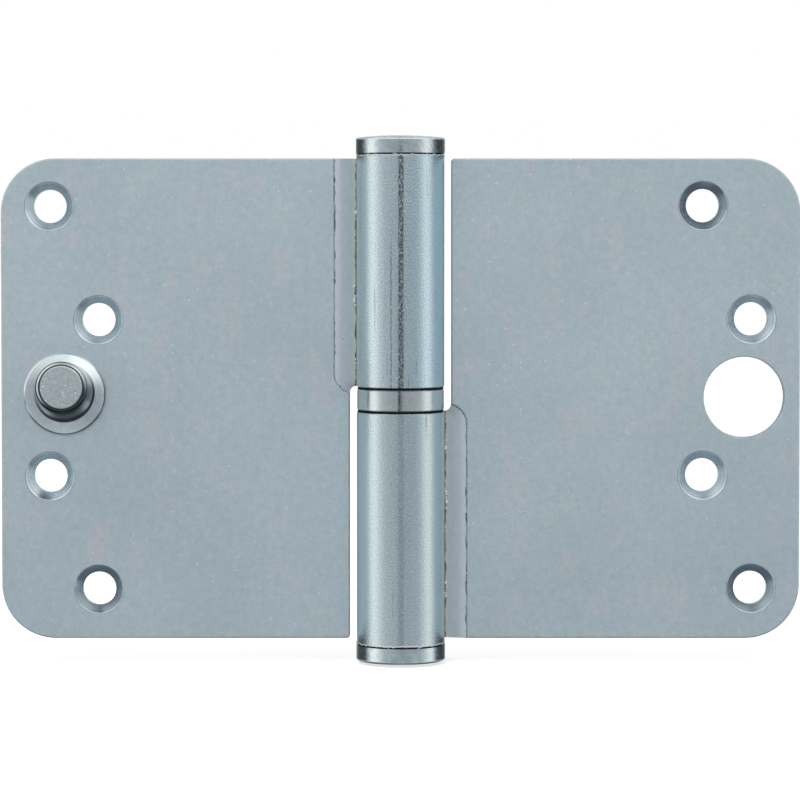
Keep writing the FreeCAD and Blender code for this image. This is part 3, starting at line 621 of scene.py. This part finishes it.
# A dark streak down the front line, a painted reflection of the lens slit, stronger on the upper knuckle
front_slit_streak = (turn - wander).near(0.07, 0.34, 0.34) * deep.over(0.40, 0.52) * (0.35 + 0.65 * on_top)
# A thin dark line painted beside it on the upper knuckle
thin_dark_line = (turn - wander).near(-1.75, 0.06, 0.16) * deep.over(0.42, 0.52) * z.near(14.0, 12.0, 6.0)
dark_lines = front_slit_streak.most(0.8 * thin_dark_line)
skin = paint.mix(0.92 * dark_lines, skin, KNUCKLE_LINE_DARK)
joint = abs(z).over(*JOINT) * paint.noise(around, 1 / 1.4, 2.0).over(0.30, 0.42)
skin = paint.mix(joint, skin, SOOT)

colour = paint.mix(rolled, colour, skin)
skin_roughness = 0.19 + 0.10 * (drawn - 0.5) + 0.10 * scratch + 0.3 * dark_lines
roughness = roughness * (1 - rolled) + skin_roughness * rolled
height = (height + 2.0 * ring_marks * sunk) * (1 - rolled) + 8.5 * pebble * rolled
finish_metal(paint, colour, roughness, height, LEAF_BUMP_MM)
wear(leaf_zinc, "frame_leaf", "door_leaf")

# %% [markdown]
# ## Caps
#
# The caps were turned and then driven in, so they are smooth and bright under a blotchy film,
# yellowish here and dark there, that the bath left where it dried.
#
# The burrs and beads that are made later wear this material too. They are brighter and rougher
# than the caps, and all of them lie nearer to mid height than a cap does, which is how the
# material tells them apart.

# %% Caps
CAP_DULL, CAP_BRIGHT = (0.60, 0.72, 0.75), (0.66, 0.77, 0.80)
FILM_PALE, FILM_DARK, SQUEEZED = (0.84, 0.83, 0.70), (0.42, 0.50, 0.52), (0.93, 0.94, 0.92)
# Height at which a cap starts, and just below it
CAP_START = (45.32, 45.22)
# Turned and drawn pieces have a coarser and calmer grain than the sheet, and no sparks
TURNED = {"grain_size": 0.5, "sparks": 0.0, "mottling": 0.6}

cap_zinc, paint = new_material("cap_zinc")
vector, x, y, z = paint.place()
colour, roughness, height = zinc(paint, vector, CAP_DULL, CAP_BRIGHT, 0.12, **TURNED)
film = paint.noise(vector, 1 / 1.2, 4.0, 0.7)
colour = paint.mix(0.5 * film.over(0.45, 0.75), colour, FILM_PALE)
colour = paint.mix(0.5 * film.over(0.50, 0.30), colour, FILM_DARK)
squeezed = abs(z).over(*CAP_START)
colour = paint.mix(0.8 * squeezed, colour, SQUEEZED)
roughness = roughness + 0.20 * film.over(0.50, 0.80) + 0.15 * squeezed
finish_metal(paint, colour, roughness, height + 3.0 * film, 0.010)
wear(cap_zinc, "top_cap", "bottom_cap")

# %% [markdown]
# ## Casing
#
# The ring that holds the bearing together was drawn and polished, and is the smoothest plated
# piece. It needs only the zinc, a shade greyer, and one dark streak down its front: a painted
# reflection of the lens slit, in line with the painted streaks on the knuckles above and below.

# %% Casing
CASING_DULL, CASING_BRIGHT = (0.56, 0.63, 0.65), (0.63, 0.70, 0.72)
CASING_SLIT_DARK = (0.10, 0.11, 0.13)

casing_zinc, paint = new_material("casing_zinc")
vector, x, y, z = paint.place()
colour, roughness, height = zinc(paint, vector, CASING_DULL, CASING_BRIGHT, 0.18, **TURNED)
# A dark streak painted down the ring's front, a painted reflection of the lens slit
casing_slit_streak = length_round(x, y).near(-0.27, 0.14, 0.20) * paint.noise(vector, 1 / 0.5, 2.0).over(0.35, 0.50)
colour = paint.mix(0.8 * casing_slit_streak, colour, CASING_SLIT_DARK)
finish_metal(paint, colour, roughness, height, 0.004)
wear(casing_zinc, "bearing_casing")

# %% [markdown]
# ## Stud
#
# The stud was turned, so it has fine rings round its own middle, and a parting face left mottled
# at the tip. It was riveted a little out of square: all of its front leans up and inwards. The
# cone's shape already leans, and a slope in the bump's height leans the flange's shine as well.
#
# Shade is painted near black round the tip's edge, at the foot, under the flange's rim and on the
# cone's lower wall and far side, mostly on the stud's lower side. Each place is a mask, and the
# largest of them is the painted shade.

# %% Stud's turned steel
STUD_X, STUD_Z = -62.25, 1.0
TIP_FACE, TIP_FLAT, TIP_Z = -5.3, 3.85, 2.45
FLANGE_RADIUS, FLANGE_FACE = 7.55, 0.4
STUD_DULL, STUD_BRIGHT = (0.60, 0.70, 0.74), (0.68, 0.77, 0.80)
SEAT, PARTED_DULL, PARTED_BRIGHT = (0.80, 0.90, 0.94), (0.76, 0.85, 0.90), (0.90, 0.96, 0.98)
FLECK = (0.97, 0.98, 0.98)

stud_zinc, paint = new_material("stud_zinc")
vector, x, y, z = paint.place()
colour, roughness, height = zinc(paint, vector, STUD_DULL, STUD_BRIGHT, 0.12, grain_size=0.6, sparks=0.3)
radius = away(x, z, STUD_X, STUD_Z)
from_tip = away(x, z, STUD_X, TIP_Z)
rings = paint.noise(paint.join(radius * RING_MARKS, 0.0, 0.0), 1.0, 2.0)
riveted = y.over(2.0, 3.0)
seat = y.over(FLANGE_FACE - 0.3, FLANGE_FACE + 0.05) * (1 - riveted)
colour = paint.mix(0.7 * seat, colour, SEAT)
colour = paint.shaded(colour, 1 + 0.5 * (rings - 0.5) * seat)

tip = y.over(TIP_FACE + 0.1, TIP_FACE - 0.05) * from_tip.over(TIP_FLAT + 0.05, TIP_FLAT - 0.10)
blotch = paint.noise(vector, 1 / 0.6, 3.0, 0.7)
fleck = paint.cells(vector, 1 / 0.9).over(0.20, 0.08) * paint.noise(vector, 1 / 2.5, 2.0).over(0.45, 0.60)
parted = paint.mix(blotch.over(0.35, 0.65), PARTED_DULL, PARTED_BRIGHT)
parted = paint.mix(0.8 * fleck, parted, FLECK)
colour = paint.mix(0.85 * tip, colour, parted)
print("stud from its tip at y =", TIP_FACE, "to its flange at y =", FLANGE_FACE, "mm")

# %% Stud's painted shade
FOOT_RADIUS, FOOT_Z = 5.5, 1.35
STUD_SHADE = (0.03, 0.04, 0.05)
STUD_BUMP_MM = 0.008
LEAN_UP, LEAN_IN = 5.8, 2.8

# Painted shade falls mostly on the stud's lower side, which this mask finds
low = ((z - STUD_Z - 0.4 * (x - STUD_X)) / (radius + 0.01)).over(0.75, -0.45)
groove = from_tip.near(TIP_FLAT + 0.22, 0.10, 0.12) * y.over(TIP_FACE + 0.4, TIP_FACE + 0.2)
foot = away(x, z, STUD_X, FOOT_Z).near(FOOT_RADIUS + 0.05, 0.08, 0.12)
foot = foot * y.over(FLANGE_FACE - 0.5, FLANGE_FACE - 0.3) * low
flange_rim = radius.over(FLANGE_RADIUS - 0.2, FLANGE_RADIUS - 0.08) * low
on_cone = y.over(FLANGE_FACE - 0.4, FLANGE_FACE - 1.0)
wall = on_cone * from_tip.over(TIP_FLAT + 0.1, TIP_FLAT + 0.4) * low
wall = wall * (1 - 0.35 * from_tip.near(5.6, 0.15, 0.30))
far_side = ((STUD_X - x + 0.5 * (z - STUD_Z)) / (radius + 0.01)).over(-0.1, 0.5)
far_side = far_side * from_tip.over(TIP_FLAT + 0.62, TIP_FLAT + 0.74) * on_cone
painted_shade = groove.most(foot, flange_rim, wall, far_side)
colour = paint.mix(0.96 * painted_shade, colour, STUD_SHADE)

roughness = roughness * (1 - tip) + 0.24 * tip + 0.05 * seat + 0.38 * riveted
lean = (1 - riveted) * (-LEAN_UP * (z - STUD_Z) - LEAN_IN * (x - STUD_X))
height = lean + 1.8 * rings * seat + 0.1 * height + (3.0 * blotch + 6.0 * fleck) * tip
finish_metal(paint, colour, roughness, height, STUD_BUMP_MM)
wear(stud_zinc, "security_stud")

# %% [markdown]
# ## Burrs and spatter
#
# The caps were driven on with a press, which raised a ragged bright burr on the knuckle's edge.
# Each seam between a knuckle and its bend also carries a few beads of spatter that were plated
# over with the rest. Both are real lumps, so they are pieces of their own: a thin ring swept by
# the spin operator and pushed about by seeded noise, and small icospheres squashed along the seam.

# %% Pieces that ride
LUMP_SEED = 7
chance = random.Random(LUMP_SEED)


def piece_from(shape, name, material, body):
    """Turns a bmesh into a named piece that rides on a body."""
    bmesh.ops.recalc_face_normals(shape, faces=shape.faces)
    mesh = bpy.data.meshes.new(name)
    shape.to_mesh(mesh)
    shape.free()
    for polygon in mesh.polygons:
        polygon.use_smooth = True
    made = bpy.data.objects.new(name, mesh)
    bpy.context.scene.collection.objects.link(made)
    mesh.materials.append(material)
    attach(made, body)
    print(name, "has", len(mesh.polygons), "faces and rides on", body)


# %% Burrs
BURR_RADIUS = 8.06
BURR_HEIGHT = 44.98
BURR_THICKNESS = 0.14
BURR_STEPS = 180
BURR_OUT, BURR_UP = 0.10, 0.30


def burr(name, up, body):
    """A ragged ring at the end of a knuckle. up is 1 for the top and -1 for the bottom."""
    shape = bmesh.new()
    turned_in = Matrix.Rotation(math.pi / 2, 4, "X")
    seat = Matrix.Translation((BURR_RADIUS * MM, 0, up * BURR_HEIGHT * MM))
    bmesh.ops.create_circle(shape, segments=6, radius=BURR_THICKNESS * MM, matrix=seat @ turned_in)
    bmesh.ops.spin(
        shape, geom=shape.verts[:] + shape.edges[:], cent=(0, 0, 0), axis=(0, 0, 1),
        angle=2 * math.pi, steps=BURR_STEPS, use_merge=True,
    )
    bmesh.ops.remove_doubles(shape, verts=shape.verts, dist=1e-6)
    lumps = [chance.uniform(0.0, 1.0) for _ in range(BURR_STEPS)]
    for vert in shape.verts:
        place = (math.atan2(vert.co.y, vert.co.x) / (2 * math.pi) % 1) * BURR_STEPS
        first = int(place) % BURR_STEPS
        lump = lumps[first] + (lumps[(first + 1) % BURR_STEPS] - lumps[first]) * (place - int(place))
        outward = Vector((vert.co.x, vert.co.y, 0)).normalized()
        vert.co += outward * (BURR_OUT * (lump - 0.6)) * MM
        vert.co.z += up * BURR_UP * (lump - 0.5) * MM
    piece_from(shape, name, cap_zinc, body)


burr("top_burr", 1, "door_side")
burr("bottom_burr", -1, "frame_side")

# %% Spatter
SEAM_X, SEAM_Y = 8.32, 2.55
# Which side the seam is on, then each group's middle height, half length and number of beads
SPATTER = {
    "door_side": (-1, [(35.5, 1.6, 5), (19.3, 2.2, 7), (7.5, 1.0, 3)]),
    "frame_side": (1, [(-18.6, 2.0, 6), (-35.2, 2.2, 7), (-8.2, 1.2, 3)]),
}


def bead(shape, side, middle, half):
    """One bead on a seam, somewhere within half of the middle height."""
    size = chance.uniform(0.12, 0.26)
    across = side * (SEAM_X + chance.uniform(-0.12, 0.22))
    back = SEAM_Y + chance.uniform(-0.1, 0.1)
    spot = Matrix.Translation(Vector((across, back, middle + chance.uniform(-half, half))) * MM)
    squash = Matrix.Diagonal((1.0, 0.8, chance.uniform(1.0, 2.2), 1.0))
    bmesh.ops.create_icosphere(shape, subdivisions=2, radius=size * MM, matrix=spot @ squash)


for body, (side, groups) in SPATTER.items():
    shape = bmesh.new()
    for middle, half, count in groups:
        for _ in range(count):
            bead(shape, side, middle, half)
    piece_from(shape, body.replace("side", "spatter"), cap_zinc, body)

# %% [markdown]
# ## Inside parts
#
# The pin, races, cage and balls show only when the door leaf is lifted off. None is plated. The
# pin was ground, which leaves fine rings across it, the races were hardened and turned, the cage
# was pressed from strip, and the balls are polished. The races' collars are painted near black at
# their rims, a painted shade: those are the two dark lines beside the casing.

# %% Pin
pin_steel, paint = new_material("pin_steel")
vector, *_ = paint.place()
ground = paint.noise(paint.stretch(vector, 0.2, 0.2, 6.0), 1.0, 2.0)
colour = paint.mix(ground, (0.56, 0.57, 0.57), (0.68, 0.68, 0.67))
finish_metal(paint, colour, 0.24 + 0.1 * ground, ground, 0.003)
wear(pin_steel, "hinge_pin")

# %% Races
COLLAR_RADIUS = 7.95
COLLAR_SHADE = (0.012, 0.012, 0.014)

race_steel, paint = new_material("race_steel")
_, x, y, z = paint.place()
radius = (x * x + y * y) ** 0.5
rings = paint.noise(paint.join(radius, 0.0, z), 5.0, 2.0)
# The collars' rims are painted near black, a painted shade that makes the two dark lines beside the casing
collar_shade_mask = radius.over(COLLAR_RADIUS - 0.5, COLLAR_RADIUS - 0.2)
colour = paint.mix(collar_shade_mask, paint.mix(rings, (0.46, 0.47, 0.48), (0.58, 0.58, 0.58)), COLLAR_SHADE)
finish_metal(paint, colour, 0.25 + 0.1 * rings + 0.3 * collar_shade_mask, rings, 0.004)
wear(race_steel, "lower_race", "upper_race")

# %% Cage and balls
BALLS = 12


def filmed_steel(name, film_scale, detail, dull, bright, roughness, film_roughness, depth_mm):
    """Bare steel under an uneven film of lubricant."""
    material, paint = new_material(name)
    vector, *_ = paint.place()
    film = paint.noise(vector, film_scale, detail)
    colour = paint.mix(film, dull, bright)
    finish_metal(paint, colour, roughness + film_roughness * film, film, depth_mm)
    return material


brown, tan = (0.50, 0.45, 0.34), (0.60, 0.57, 0.48)
cage_steel = filmed_steel("cage_steel", 0.8, 3.0, brown, tan, 0.30, 0.15, 0.01)
wear(cage_steel, "ball_cage")
grey, pale = (0.66, 0.66, 0.65), (0.76, 0.77, 0.78)
ball_steel = filmed_steel("ball_steel", 1.2, 2.0, grey, pale, 0.06, 0.06, 0.001)
wear(ball_steel, *(f"bearing_ball_{n + 1:02d}" for n in range(BALLS)))
